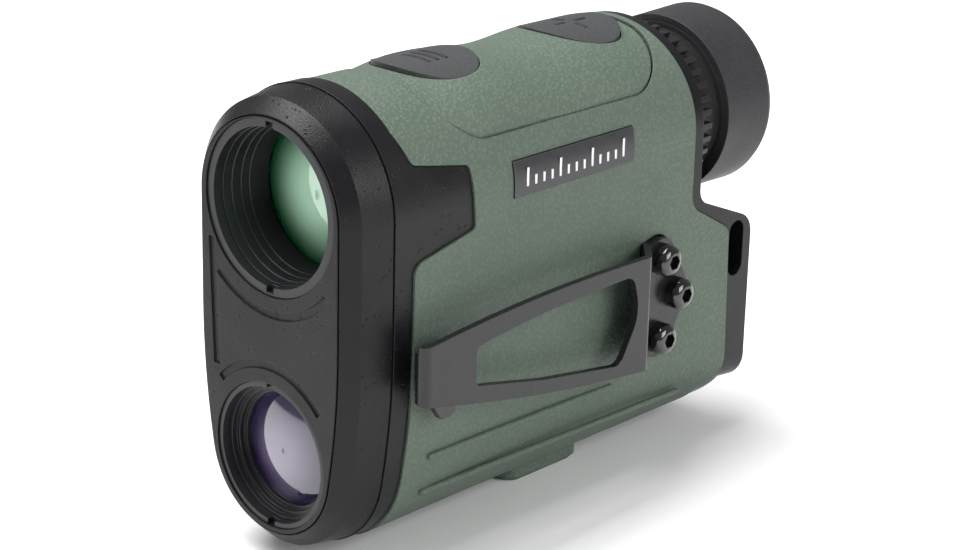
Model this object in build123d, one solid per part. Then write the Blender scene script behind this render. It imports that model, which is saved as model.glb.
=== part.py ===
from build123d import *
import math
import os

# Laser rangefinder, millimetres. +Z is up, the lenses look along -Y, the belt clip is on +X.
# The origin is the mouth of the tripod thread, in the middle of the foot under the body.

# Body envelope
front_reach = 59.5          # tripod axis to the front face
lower_axis_z = 18.7         # foot to the receiver lens axis
lens_pitch = 41.7           # receiver axis to objective axis
eyepiece_drop = 1.3         # the eyepiece sits this much lower than the objective axis
body_half_width = 19.6
straight_side = 22.0        # the sides are upright above this height over the receiver axis
bottom_radius = 17.6
bottom_centre = 0.3         # centre of the rounded bottom, over the receiver axis
full_side = -3.5            # at the rear the sides stay upright down to this height
full_corner = (18.3, -7.6)  # middle of the lower corner there, as width and height
full_turn = math.radians(34.5)
crown_front = 0.8           # how much the roof is lower than a half circle, at the front parts
crown_armour_front = 1.6
crown_armour_rear = 2.2

# Lengths, measured back from the front face
bezel_depth = 8.5
band_end = 12.6
tab_end = 26.3
arch_green_end = 82.0
arch_end = 84.5
block_green_end = 93.2
block_end = 100.0

# Walls, fits and gaps
armour_wall = 1.8
chassis_wall = 1.5
housing_inset = 0.4
bezel_inset = 0.6
cap_inset = 0.2
seam = 0.12                 # visible joint line between two fixed shells
lay = 0.05                  # gap between stacked fixed parts
running = 0.05              # radial clearance of a turning or sliding fit
button_gap = 0.2

# Front plate and lenses
plate_inset = 4.2
groove = 0.2
plate_thickness = 5.0
objective_bore = 14.5
objective_clear = 13.0
objective_lens_radius = 13.1
objective_lens_depth = 12.0
objective_tail = 10.5        # outer radius of the narrow rear part of the barrel
objective_exit = 9.4
receiver_bore = 12.4
receiver_clear = 11.5
receiver_lens_radius = 9.6
receiver_lens_depth = 4.6
receiver_tail = 10.3
receiver_exit = 8.6
hood_step = 0.2             # each baffle step is this much smaller in radius
notch_width = 1.7
notch_depth = 0.7

# Control panel and buttons
panel_half_width = 16.7
panel_front = 23.1
panel_front_corner = 8.0
panel_rear_corner = 12.0
panel_seam = 0.3            # the seam round the panel is wider than the other joints
panel_rear = 80.2
panel_crown = 20.8          # radius of the panel's crown across the body
panel_front_top = 60.05     # top of the panel over the receiver axis
panel_rear_top = 59.4
panel_dip = 0.75
button_radius = 8.8
menu_depth = 34.5
measure_depth = 70.3
button_proud = 0.25
button_height = 3.4
button_travel = 0.6
switch_size = 6.0
switch_height = 1.8
plunger_radius = 1.6

# Eyepiece
ocular_outer = 13.2
ocular_inner = 11.6
ocular_start = 78.5
ocular_end = 104.0
ring_start = 85.1
ring_end = 91.6
ring_radius = 15.8
ring_lugs = 40
lug_height = 1.2
collar_radius = 15.1
gap_radius = 14.2           # the fixed collar in the gap before the eyecup
eyecup_start = 95.7
eyecup_end = 108.4
eyecup_front_radius = 16.3
eyecup_rear_radius = 16.6
eyecup_wall = 1.4
eyecup_travel = 6.0
eye_lens_radius = 10.2
focus_travel = 1.0

# Battery
battery_radius = 7.8
battery_length = 27.0
battery_height = 0.8
battery_front = 66.5
tube_wall = 1.2
cap_flange_radius = 10.6
cap_flange = 1.6
cap_plug_radius = 9.3
coin_slot = 1.8

# Belt clip
clip_sheet = 1.2
clip_stand_off = 25.6       # outer face of the clip arm from the body's middle plane
clip_seat = 19.9            # face of the boss that the clip is screwed to
clip_flex_gap = 0.2
clip_bend = 68.8            # depth of the bend between arm and base
clip_tip = 9.7
clip_screw_places = [(72.3, 21.4), (76.2, 14.4), (72.0, 7.1)]
screw_head_radius = 2.8
screw_head_height = 2.9
screw_radius = 1.25
insert_radius = 2.0
insert_length = 3.6
hex_across = 2.4

# Lanyard slot
lanyard_depth = 95.7
lanyard_height = 17.4
lanyard_width = 4.2

# Tripod foot
foot_half_width = 7.5
foot_half_length = 9.7
thread_radius = 2.6         # core of a 1/4-20 thread
thread_length = 6.5
insert_wall = 1.6

objective_height = lens_pitch
eyepiece_height = lens_pitch - eyepiece_drop


def deep(depth):
    """Y of a place this far behind the front face."""
    return depth - front_reach


def high(height):
    """Z of a place this far over the receiver axis."""
    return height + lower_axis_z


# Helpers ------------------------------------------------------------------

def fullness(depth):
    """Share by which the lower corners have filled out, from none at the front to all at the rear."""
    return min(max((depth - bezel_depth) / (block_end - bezel_depth), 0), 1)


def section(inset, depth, crown, full=0.0):
    """Outline of the body across Y, pulled in by inset: flat crown, straight sides, round bottom."""
    half = body_half_width - inset
    roof = half - crown
    reach = straight_side - bottom_centre
    side_radius = (body_half_width**2 - bottom_radius**2 + reach**2)
    side_radius /= 2 * (body_half_width - bottom_radius)
    side_centre = body_half_width - side_radius
    egg_turn = math.atan2(reach, -side_centre)
    turn = egg_turn + full * (full_turn - egg_turn)
    side_end = straight_side + full * (full_side - straight_side)
    edge_x = (bottom_radius - inset) * math.cos(turn)
    edge_z = bottom_centre - (bottom_radius - inset) * math.sin(turn)
    egg_x = side_centre + (side_radius - inset) * math.cos(egg_turn / 2)
    egg_z = straight_side - (side_radius - inset) * math.sin(egg_turn / 2)
    mid_x = egg_x + full * (full_corner[0] - 0.85 * inset - egg_x)
    mid_z = egg_z + full * (full_corner[1] + 0.5 * inset - egg_z)
    low = bottom_centre - bottom_radius + inset
    outline = [
        EllipticalCenterArc((0, lens_pitch), half, roof, start_angle=0, arc_size=180),
        Line((-half, lens_pitch), (-half, side_end)),
        ThreePointArc((-half, side_end), (-mid_x, mid_z), (-edge_x, edge_z)),
        ThreePointArc((-edge_x, edge_z), (0, low), (edge_x, edge_z)),
        ThreePointArc((edge_x, edge_z), (mid_x, mid_z), (half, side_end)),
        Line((half, side_end), (half, lens_pitch)),
    ]
    frame = Plane(origin=(0, deep(depth), lower_axis_z), x_dir=(1, 0, 0), z_dir=(0, -1, 0))
    return frame * make_face(outline)


def body_block(inset, start, end, crown):
    return extrude(section(inset, start, crown), amount=end - start, dir=(0, 1, 0))


def body_taper(inset_a, start, crown_a, inset_b, end, crown_b, fill=False):
    ends = []
    for inset, depth, crown in ((inset_a, start, crown_a), (inset_b, end, crown_b)):
        ends.append(section(inset, depth, crown, fullness(depth) if fill else 0.0))
    return loft(ends, ruled=True)


def rod(radius, start, end):
    """Round bar between two (x, depth, height) places, with round ends."""
    a = Vector(start[0], deep(start[1]), high(start[2]))
    b = Vector(end[0], deep(end[1]), high(end[2]))
    middle = Plane(origin=(a + b) / 2, z_dir=b - a)
    bar = middle * Cylinder(radius, (b - a).length)
    for tip in (a, b):
        bar += Pos(tip.X, tip.Y, tip.Z) * Sphere(radius)
    return bar


def shell(inset, wall, start, end, crown):
    return body_block(inset, start, end, crown) - body_block(inset + wall, start, end, crown)


def disc(radius, start, end, height, x=0.0):
    """Cylinder along Y between two depths."""
    middle = Pos(x, deep((start + end) / 2), high(height))
    return middle * Rot(90, 0, 0) * Cylinder(radius, end - start)


def ring(outer, inner, start, end, height, x=0.0):
    return disc(outer, start, end, height, x) - disc(inner, start - 1, end + 1, height, x)


def cross_pin(radius, x0, x1, depth, height):
    """Cylinder along X."""
    return Pos((x0 + x1) / 2, deep(depth), high(height)) * Rot(0, 90, 0) * Cylinder(radius, x1 - x0)


def box(x0, x1, start, end, low, top):
    middle = Pos((x0 + x1) / 2, deep((start + end) / 2), high((low + top) / 2))
    return middle * Box(x1 - x0, end - start, top - low)


def rounded_polygon(points, rounds):
    """Face with the given corners, each one rounded by its own radius."""
    face = make_face(Polyline(*points, close=True))
    for corner, radius in rounds:
        near = face.vertices().sort_by_distance(Vector(*corner))[0]
        face = fillet(near, radius)
    return face


def side_prism(face, x0, x1):
    """Extrude a depth and height outline through X."""
    frame = Plane(origin=(x0, -front_reach, lower_axis_z), x_dir=(0, 1, 0), z_dir=(1, 0, 0))
    return extrude(frame * face, amount=x1 - x0)


def plan_prism(face, low, top):
    """Extrude a depth and width outline, seen from above, through Z."""
    frame = Plane(origin=(0, -front_reach, high(low)))
    return extrude(frame * face, amount=top - low)


def turned(points, height):
    """Solid turned about the lens axis at this height, from depth and radius pairs."""
    face = make_face(Polyline(*points, close=True))
    frame = Plane(origin=(0, -front_reach, high(height)), x_dir=(0, 1, 0), z_dir=(1, 0, 0))
    axis = Axis((0, 0, high(height)), (0, 1, 0))
    return revolve(frame * face, axis)


def lens(radius, front, rear, height, front_apex, rear_apex):
    """Round lens from edge depths, with the depth of each face at its middle."""

    def middle_of(edge, apex):
        rise = edge - apex
        sphere = (radius**2 + rise**2) / (2 * rise)
        half_turn = math.asin(radius / abs(sphere)) / 2
        return (apex + sphere * (1 - math.cos(half_turn)), abs(sphere) * math.sin(half_turn))

    outline = [
        ThreePointArc((front_apex, 0), middle_of(front, front_apex), (front, radius)),
        Line((front, radius), (rear, radius)),
        ThreePointArc((rear, radius), middle_of(rear, rear_apex), (rear_apex, 0)),
        Line((rear_apex, 0), (front_apex, 0)),
    ]
    frame = Plane(origin=(0, -front_reach, high(height)), x_dir=(0, 1, 0), z_dir=(1, 0, 0))
    return revolve(frame * make_face(outline), Axis((0, 0, high(height)), (0, 1, 0)))


# Side view outlines, as depth and height --------------------------------------

below = -lower_axis_z - 5
above = lens_pitch + body_half_width + 5
tab_top = [(band_end + 1.2, 49.6), (tab_end - 0.8, 47.5)]
tab_low = [(tab_end, 37.2), (band_end, 34.2)]


def front_outline(gap=0.0):
    """Front band of the housing with the tab that sweeps back along each side."""
    points = [(bezel_depth + groove, below), (band_end, below), tab_low[1], tab_low[0]]
    points += [tab_top[1], tab_top[0], (band_end, lens_pitch + 12.5), (band_end, above)]
    points.append((bezel_depth + groove, above))
    rounds = [(tab_low[1], 2.5), (tab_low[0], 0.9), (tab_top[1], 0.9), (tab_top[0], 1.2)]
    face = rounded_polygon(points, rounds)
    return offset(face, amount=gap) if gap else face


def armour_outline():
    points = [(bezel_depth, below), (block_green_end + 1.6, below), (block_green_end, 21.8)]
    points += [(arch_green_end, 28.2), (arch_green_end, above), (bezel_depth, above)]
    return rounded_polygon(points, [(points[2], 3.0), (points[3], 4.0)])


def cap_outline():
    points = [(bezel_depth, below), (block_end - 5.5, below), (block_end, -11.5), (block_end, 22.4)]
    points += [(arch_end, 28.7), (arch_end, above), (bezel_depth, above)]
    return rounded_polygon(points, [(points[2], 4.0), (points[3], 4.5), (points[4], 3.0)])


def through(face):
    reach = body_half_width + 2
    return side_prism(face, -reach, reach)


def panel_plan(gap=0.0):
    half = panel_half_width + gap
    front = panel_front - gap
    rear = panel_rear + gap
    points = [(-half, front), (half, front), (half, rear), (-half, rear)]
    corners = (panel_front_corner, panel_front_corner, panel_rear_corner, panel_rear_corner)
    rounds = [(point, corner + gap) for point, corner in zip(points, corners)]
    return rounded_polygon(points, rounds)


def panel_top(depth):
    """Height of the panel's crown line, without the thumb dip."""
    share = (depth - panel_front) / (panel_rear - panel_front)
    return panel_front_top + share * (panel_rear_top - panel_front_top)


def crown_slice(depth, drop, half_width, base):
    """Cross-section of a crowned top that stands on a flat base."""
    top = panel_top(depth) - drop
    edge = top - panel_crown + math.sqrt(panel_crown**2 - half_width**2)
    outline = [
        ThreePointArc((-half_width, edge), (0, top), (half_width, edge)),
        Line((half_width, edge), (half_width, base)),
        Line((half_width, base), (-half_width, base)),
        Line((-half_width, base), (-half_width, edge)),
    ]
    frame = Plane(origin=(0, deep(depth), lower_axis_z), x_dir=(1, 0, 0), z_dir=(0, -1, 0))
    return frame * make_face(outline)


def crowned_block(half_width, base, slices):
    return loft([crown_slice(depth, drop, half_width, base) for depth, drop in slices])


# Shells -----------------------------------------------------------------------

bulkheads = [(19.2, 21.0), (38.0, 40.0), (62.6, 64.2)]
board_strip = (26.5, 76.5)
board_low = 52.6
board_top = 53.6
scoop_radius = ring_radius + 1.5
scoop_wall = 1.7
switch_hole = button_radius + 0.4


def bezel_blank():
    """Bezel filled solid, with its chamfered front edge."""
    front = [section(plate_inset - 2 * groove, groove, crown_front)]
    front.append(section(bezel_inset + 0.9, 2.6, crown_front))
    chamfer = loft(front, ruled=True)
    barrel = body_taper(bezel_inset + 0.9, 2.6, crown_front, bezel_inset, bezel_depth, crown_front)
    return chamfer + barrel


def front_bezel():
    return bezel_blank() - body_block(plate_inset - groove, -1, bezel_depth + 1, crown_front)


channel_depth = 0.3


def channel(points, width):
    """Shallow groove pressed into the front plate, from width and height points."""
    frame = Plane(origin=(0, -front_reach, lower_axis_z), x_dir=(1, 0, 0), z_dir=(0, -1, 0))
    return extrude(frame * trace(points, width), amount=channel_depth, both=True)


def front_faceplate():
    plate = body_block(plate_inset, 0, plate_thickness, crown_front)
    plate -= disc(objective_bore, -1, plate_thickness + 1, objective_height)
    plate -= disc(receiver_bore, -1, plate_thickness + 1, 0)
    sweep_turn = 42
    for centre, radius, start in ((lens_pitch, 17.4, 180 + sweep_turn), (0, 15.3, sweep_turn)):
        arc = CenterArc((0, centre), radius, start, 180 - 2 * sweep_turn)
        plate -= channel(arc, 1.3)
    left = plate_inset - body_half_width + 2.2
    side = Line((left, 34.0), (left + 0.9, 12.5))
    plate -= channel(side, 1.5)
    return plate


def front_housing():
    crown = (crown_front + crown_armour_front) / 2
    outer = body_taper(housing_inset, bezel_depth, crown_front, housing_inset, tab_end + 1, crown)
    outer -= body_block(armour_wall, 0, tab_end + 2, crown_armour_front)
    return outer & through(front_outline())


rib_radius = 0.55
rib_sink = 0.15
# height, half width of the body there at the front and at the rear, first and last depth
rib_lines = [(-0.1, 17.95, 19.6, 18.5, 62.3), (-6.9, 16.15, 18.6, 18.5, 82.2)]


def side_ribs():
    """Two moulded ridges along each lower side."""
    ribs = Part()
    for height, surface, filled, start, end in rib_lines:
        for side in (-1, 1):
            ends = []
            for depth in (start, end):
                x = surface + fullness(depth) * (filled - surface)
                ends.append((side * (x - rib_sink), depth, height))
            ribs += rod(rib_radius, *ends)
    return ribs


def foot_pad(grow=0.0):
    corner = 3.5
    half_w, half_l = foot_half_width + grow, foot_half_length + grow
    points = [(-half_w, -half_l), (half_w, -half_l), (half_w, half_l), (-half_w, half_l)]
    face = rounded_polygon(points, [(p, corner) for p in points])
    pad = extrude(face, amount=lower_axis_z - 12)
    return chamfer(pad.faces().sort_by(Axis.Z)[0].edges(), 0.9)


def boss_outline(gap=0.0):
    """Seat of the clip, rounded about each screw and straight along the bend."""
    edges = []
    for depth, height in clip_screw_places:
        edges += (Pos(depth, height) * Circle(screw_head_radius + 0.9 + gap)).edges()
    heights = [height for _, height in clip_screw_places]
    reach = (max(heights) - min(heights)) / 2 + screw_head_radius + gap
    strip = Rectangle(2 * gap + 1, 2 * reach)
    edges += (Pos(clip_bend + 0.3, (max(heights) + min(heights)) / 2) * strip).edges()
    return make_hull(edges)


def armour():
    start = bezel_depth + groove
    skin = body_taper(0, start, crown_armour_front, 0, block_end, crown_armour_rear, fill=True)
    skin = skin & through(armour_outline())
    skin += side_ribs()
    skin += foot_pad()
    skin -= body_block(armour_wall, start - 1, block_end + 1, crown_armour_front)
    skin -= through(front_outline(seam))
    skin -= plan_prism(panel_plan(panel_seam), lens_pitch, above)
    skin -= side_prism(boss_outline(0.35), 12, clip_stand_off)
    skin -= Pos(0, 0, 5) * Cylinder(thread_radius + insert_wall + 1.2, 12)
    return skin - badge_blank(seam)


def control_panel():
    stations = [(panel_front - 2, 0), (30, 0), (45, 0.25), (52.4, panel_dip), (60, 0.25)]
    stations += [(72, 0), (panel_rear + 2, 0)]
    slab = crowned_block(panel_half_width + 1, 40, stations)
    slab = slab & plan_prism(panel_plan(), lens_pitch, above)
    slab -= body_block(armour_wall, panel_front - 5, panel_rear + 5, crown_armour_front)
    for depth in (menu_depth, measure_depth):
        slab -= button_column(button_radius + button_gap, depth, 40, above)
    return slab


def button_column(radius, depth, low, top):
    return Pos(0, deep(depth), high((low + top) / 2)) * Cylinder(radius, top - low)


def chassis():
    """Both halves of the inner frame before they are split."""
    start = bezel_depth + groove * 2
    tube = shell(armour_wall + lay, chassis_wall, start, block_end, crown_armour_front)
    inner = armour_wall + lay + chassis_wall
    for front, rear in bulkheads:
        web = body_block(inner - 0.3, front, rear, crown_armour_front)
        tube += web
    tube = tube & through(armour_outline())
    tube += foot_boss() & box(-20, 20, 40, 80, -lower_axis_z, 0)
    tube += side_prism(boss_outline(-0.1), body_half_width - 4.6, clip_seat)
    tube += rear_posts() & body_block(armour_wall + 1, 0, block_end, crown_armour_front)
    tube -= disc(objective_bore + lay, 0, 22, objective_height)
    tube -= disc(objective_tail + lay, 20, 36, objective_height)
    tube -= disc(objective_exit, 30, 45, objective_height)
    tube -= disc(8.0, 60, 70, objective_height)
    tube -= disc(receiver_bore, 0, 17, 0)
    tube -= disc(receiver_tail + lay, 16, 25, 0)
    tube -= box(-13.9, 12.0, 30, 61.9, -9.5, 28)
    tube -= box(-13.9, 12.0, 61, 70, -9.5, 28)
    tube -= box(-8.2, 8.2, board_strip[0], board_strip[1] + 1, board_low - 0.4, 54.6)
    tube -= disc(scoop_radius + scoop_wall + lay, arch_green_end - 0.5, block_end, eyepiece_height)
    for depth in (menu_depth, measure_depth):
        tube -= button_column(switch_hole, depth, board_low, above)
    tube -= foot_hole()
    for depth, height in clip_screw_places:
        tube -= cross_pin(insert_radius, clip_seat - insert_length - 0.2, clip_seat + 1, depth, height)
    return tube - rear_screw_holes()


def foot_boss():
    return Pos(0, 0, 4.5) * Cylinder(thread_radius + insert_wall + 1.1, 9)


def foot_hole():
    return Pos(0, 0, 3) * Cylinder(thread_radius + insert_wall, 8.2)


def tripod_insert():
    body = Pos(0, 0, 3.5) * Cylinder(thread_radius + insert_wall, 7)
    return body - Pos(0, 0, thread_length / 2 - 1) * Cylinder(thread_radius, thread_length + 2)


rear_screw_places = [(-14.1, 5.0), (14.1, 5.0), (-8.4, -9.9), (8.4, -9.9)]
rear_screw_radius = 1.0
rear_screw_head = 1.9
rear_screw_sink = 1.8


def rear_posts():
    posts = Part()
    for x, height in rear_screw_places:
        posts += disc(2.4, 84, block_green_end - 0.6, height, x)
    return posts


def rear_screw_holes():
    holes = Part()
    for x, height in rear_screw_places:
        holes += disc(rear_screw_radius + lay, 86, block_end + 1, height, x)
    return holes


def rear_screws():
    screws = Part()
    for x, height in rear_screw_places:
        face = block_end - rear_screw_sink
        head = disc(rear_screw_head, face, face + 1.3, height, x)
        head -= box(x - 0.3, x + 0.3, face + 0.7, face + 2, height - 1.4, height + 1.4)
        head -= box(x - 1.4, x + 1.4, face + 0.7, face + 2, height - 0.3, height + 0.3)
        screws += head + disc(rear_screw_radius, 87, face, height, x)
    return screws


def rear_cap():
    start = arch_green_end + seam
    outer = body_taper(cap_inset, start, crown_armour_rear, cap_inset, block_end,
                       crown_armour_rear, fill=True) & through(cap_outline())
    scoop = disc(scoop_radius, arch_end, block_end + 5, eyepiece_height)
    trough = disc(scoop_radius + scoop_wall, start, block_end + 5, eyepiece_height)
    plate = outer - through(offset(armour_outline(), amount=seam))
    inner_trough = trough & outer & body_block(armour_wall + lay, start, block_end, crown_armour_rear)
    plate = plate + inner_trough - scoop
    plate -= disc(ocular_outer + lay, start - 1, arch_end + 1, eyepiece_height)
    plate -= disc(cap_plug_radius + 0.1, block_green_end - 3, block_end + 1, battery_height)
    plate -= lanyard_slot()
    for x, height in rear_screw_places:
        plate -= disc(rear_screw_head + 0.1, block_end - rear_screw_sink, block_end + 1, height, x)
    return plate - rear_screw_holes()


def lanyard_slot():
    """Slot through the rear corner on the clip side, leaving an upright bar for a cord."""
    side = Pos(lanyard_depth, lanyard_height) * SlotOverall(10.4, lanyard_width, rotation=90)
    slot = side_prism(side, 13.0, body_half_width + 1)
    return slot + box(12.6, 15.6, 94.2, block_end + 1, 12.8, 22.0)


def front_gasket():
    start = bezel_depth + lay
    return shell(armour_wall + 0.4, 1.0, start, bezel_depth + 2 * groove - lay, crown_armour_front)


# Objective and receiver -------------------------------------------------------

hood_depths = [2.1, 3.9, 5.7, 7.3]


def notched_ring(outer, inner, start, end, height):
    body = ring(outer, inner, start, end, height)
    for side in (-1, 1):
        slot = height + side * (inner + notch_depth / 2)
        half = notch_depth / 2 + 0.3
        body -= box(-notch_width / 2, notch_width / 2, start - 1, start + 1.2, slot - half, slot + half)
    return body


def stepped_tube(outer, clear, steps, height):
    """Hood whose bore steps in at each of the given depths."""
    tube = Part()
    for count, (start, end) in enumerate(zip(steps[:-1], steps[1:])):
        tube += ring(outer, clear - hood_step * (count + 1), start, end, height)
    return tube


def objective_ring():
    return notched_ring(objective_bore - lay, objective_clear, 0.3, hood_depths[0], objective_height)


def objective_barrel():
    seat = objective_lens_depth - 0.6
    outer = objective_bore - lay
    tube = stepped_tube(outer, objective_clear, hood_depths + [seat], objective_height)
    tube += ring(outer, objective_lens_radius + lay, seat, 21.2, objective_height)
    tube += ring(outer, objective_exit, 21.2, 22.4, objective_height)
    return tube + ring(objective_tail, objective_exit, 22.4, 37.95, objective_height)


def objective_front_element():
    start = objective_lens_depth
    return lens(objective_lens_radius, start, start + 3.2, objective_height, start - 1.9, start + 4.6)


def objective_rear_element():
    start = objective_lens_depth + 3.2
    glue = 0.02
    return lens(objective_lens_radius, start + glue, start + 3.4, objective_height,
                start + 1.4 + glue, start + 2.9)


def objective_lock_ring():
    start = objective_lens_depth + 6.7
    return ring(objective_lens_radius, 11.9, start, start + 1.8, objective_height)


receiver_steps = [1.9, 2.9, 3.9]


def receiver_ring():
    return notched_ring(receiver_bore - lay, receiver_clear, 0.3, receiver_steps[0], 0)


def receiver_barrel():
    outer = receiver_bore - lay
    tube = ring(outer, 11.0, receiver_steps[0], receiver_steps[1], 0)
    tube += ring(outer, 10.3, receiver_steps[1], receiver_steps[2], 0)
    tube += ring(outer, receiver_lens_radius + lay, receiver_steps[2], 10.8, 0)
    tube += ring(outer, receiver_exit, 10.8, 12.6, 0)
    return tube + ring(receiver_tail, receiver_exit, 12.6, 27.0, 0)


def receiver_lens():
    start = receiver_lens_depth
    return lens(receiver_lens_radius, start, start + 3.0, 0, start - 1.8, start + 3.4)


def receiver_lock_ring():
    return ring(receiver_lens_radius, receiver_exit, receiver_lens_depth + 3.1, 10.7, 0)


def receiver_filter():
    return disc(receiver_exit - lay, 24.0, 25.2, 0)


def detector_holder():
    cup = disc(receiver_tail, 27.05, 34.0, 0) - disc(receiver_exit, 26, 29.0, 0)
    return cup - disc(4.15, 28, 32.0, 0) - disc(1.6, 31, 35, 0)


def detector():
    can = disc(4.1, 29.2, 31.9, 0)
    for x in (-1.0, 1.0):
        can += disc(0.3, 31.5, 36.5, 0, x)
    return can


# Prisms, display and electronics ---------------------------------------------

cage = dict(start=40.1, end=62.5, half=9.4, low=31.2, top=52.1)
cage_wall = 1.4


def prism_cage():
    low, top = cage["low"], cage["top"]
    body = box(-cage["half"], cage["half"], cage["start"], cage["end"], low, top)
    hollow = cage["half"] - cage_wall
    body -= box(-hollow, hollow, cage["start"] + cage_wall, cage["end"] - cage_wall,
                low + cage_wall, top - cage_wall)
    body -= disc(7.6, cage["start"] - 1, cage["end"] + 1, objective_height)
    return body - box(0, 12, 47, 55, 39.0, 44.5)


def prism(points):
    half = cage["half"] - cage_wall - lay
    return side_prism(make_face(Polyline(*points, close=True)), -half, half)


def half_penta_prism():
    start = cage["start"] + cage_wall + 0.1
    low = cage["low"] + cage_wall + 0.1
    top = cage["top"] - cage_wall - 0.1
    return prism([(start, low), (start, top), (start + 7.8, top), (start + 4.0, low)])


def roof_prism():
    end = cage["end"] - cage_wall - 0.1
    start = cage["start"] + cage_wall + 0.4
    low = cage["low"] + cage_wall + 0.1
    top = cage["top"] - cage_wall - 0.1
    return prism([(start + 4.0, low), (start + 7.8, top), (end, top), (end, low)])


def laser_holder():
    block = box(cage["half"] + 0.02, 14.4, 48.0, 54.0, 38.7, 44.7)
    return block - cross_pin(2.85, 9, 13.2, 51.0, 41.7) - cross_pin(1.2, 12, 15, 51.0, 41.7)


def laser_diode():
    can = cross_pin(2.8, 10.0, 13.1, 51.0, 41.7)
    for height in (41.2, 42.2):
        can += cross_pin(0.22, 13.0, 15.4, 51.0, height)
    return can


def display_module():
    frame = box(-8.4, 8.4, 64.25, 67.4, objective_height - 9.0, objective_height + 9.0)
    return frame - disc(7.2, 63, 66.2, objective_height) - disc(6.4, 63, 69, objective_height)


board_face = -13.0
board_thick = 1.2
board_mounts = [(41.0, -1.5), (41.0, 23.5), (60.0, -1.5), (60.0, 23.5)]


def main_board():
    board = box(board_face, board_face + board_thick, 38.6, 62.4, -4.0, 26.0)
    for depth, height in board_mounts:
        board -= cross_pin(0.95, board_face - 1, board_face + 2, depth, height)
    return board


def board_posts():
    posts = Part()
    for depth, height in board_mounts:
        posts += cross_pin(1.9, board_face - 4.5, board_face - lay, depth, height)
        posts -= cross_pin(0.95, board_face - 2.2, board_face + 1, depth, height)
    return posts


def board_screws():
    screws = Part()
    face = board_face + board_thick
    for depth, height in board_mounts:
        screws += cross_pin(0.9, face - 2.2, face, depth, height)
        screws += cross_pin(1.6, face, face + 1.0, depth, height)
    return screws


def board_chips():
    face = board_face + board_thick + 0.02
    chips = box(face, face + 1.0, 44, 52, 8, 16)
    chips += box(face, face + 0.9, 54, 59, 2, 7)
    chips += box(face, face + 0.8, 44, 49, 0, 4)
    for row in range(4):
        chips += box(face, face + 0.6, 54.5, 56.1, 11 + 2.4 * row, 11.9 + 2.4 * row)
    return chips + box(face, face + 2.2, 46, 54, 20, 23)


def ribbon_cable():
    turn = board_low - 0.25
    route = Polyline((board_face - 0.25, 24.5), (board_face - 0.25, 47.3), (-10.0, turn), (-7.3, turn))
    frame = Plane(origin=(0, deep(56), lower_axis_z), x_dir=(1, 0, 0), z_dir=(0, -1, 0))
    return extrude(frame * trace(route, 0.3), amount=6)


def switch_board():
    return box(-7.2, 7.2, board_strip[0], board_strip[1] - 0.4, board_low, board_top)


def switches():
    bodies = Part()
    half = switch_size / 2
    for depth in (menu_depth, measure_depth):
        body = box(-half, half, depth - half, depth + half, board_top, board_top + switch_height)
        body -= button_column(plunger_radius + button_gap, depth, board_top + 0.3, board_top + 3)
        bodies += body
    return bodies


def button(depth):
    reach = button_radius + 2
    stations = [(depth - reach, -button_proud), (depth + reach, -button_proud)]
    block = crowned_block(button_radius + 1, 40, stations)
    low = panel_top(depth) + button_proud - button_height
    return block & button_column(button_radius, depth, low, above)


def plunger(depth):
    top = panel_top(depth) + button_proud - button_height - 0.02
    return button_column(plunger_radius, depth, board_top + 0.3 + button_travel + 0.1, top)


# Eyepiece ---------------------------------------------------------------------

def ocular_tube():
    tube = ring(ocular_outer, ocular_inner + running, ocular_start, ocular_end, eyepiece_height)
    return tube + ring(14.7, ocular_inner + running, 80.6, arch_green_end, eyepiece_height)


def eye_lens_cell():
    start, end = 92.5, 103.0
    cell = ring(ocular_inner, eye_lens_radius + lay, start, end - focus_travel, eyepiece_height)
    return cell + ring(ocular_inner, 9.2, start - 1, start, eyepiece_height)


def eye_lens():
    return lens(eye_lens_radius, 95.0, 99.6, eyepiece_height, 93.4, 101.3)


def field_lens():
    return lens(ocular_inner - 0.1, 83.5, 86.0, eyepiece_height, 81.6, 87.4)


def focus_ring():
    body = ring(ring_radius - lug_height, ocular_outer + running, ring_start, ring_end, eyepiece_height)
    body += ring(ring_radius - 0.3, ocular_outer + running, ring_start, ring_start + 0.8,
                 eyepiece_height)
    pitch = 360 / ring_lugs
    width = 2 * math.pi * ring_radius / ring_lugs * 0.42
    axis = Pos(0, 0, high(eyepiece_height))
    lug = box(-width / 2, width / 2, ring_start + 0.5, ring_end,
              ring_radius - lug_height - 0.8 - lower_axis_z, ring_radius - lower_axis_z)
    lugs = [axis * Rot(0, pitch * count, 0) * lug for count in range(ring_lugs)]
    round_off = ring(ring_radius, ring_radius - 3, ring_start, ring_end, eyepiece_height)
    for piece in lugs:
        body += piece & round_off
    return body


def eyepiece_collar():
    return ring(gap_radius, ocular_outer + lay, ring_end + 0.3, eyecup_start - 0.3, eyepiece_height)


guide_radius = ocular_outer + 0.9


def eyecup_guide():
    return ring(guide_radius, ocular_outer + running, eyecup_start, 98.5, eyepiece_height)


def eyecup_core():
    bore = guide_radius + running
    core = ring(collar_radius - lay, bore, eyecup_start, 98.6, eyepiece_height)
    core += ring(collar_radius - lay, ocular_outer + running, 98.6, 104.5, eyepiece_height)
    return core


def eyecup():
    front, rear = eyecup_front_radius, eyecup_rear_radius
    points = [(eyecup_start, collar_radius), (eyecup_start, front), (eyecup_end - 1.4, rear)]
    points += [(eyecup_end - 0.4, rear - 0.4), (eyecup_end, rear - 1.3), (eyecup_end, rear - 2.6)]
    points += [(eyecup_end - 1.0, rear - 3.6), (104.55, 12.6), (104.55, collar_radius)]
    return turned(points, eyepiece_height)


# Battery ----------------------------------------------------------------------

battery_back = battery_front + battery_length


def battery():
    cell = disc(battery_radius, battery_front, battery_back - 0.6, battery_height)
    return cell + disc(3.2, battery_back - 0.6, battery_back, battery_height)


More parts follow.
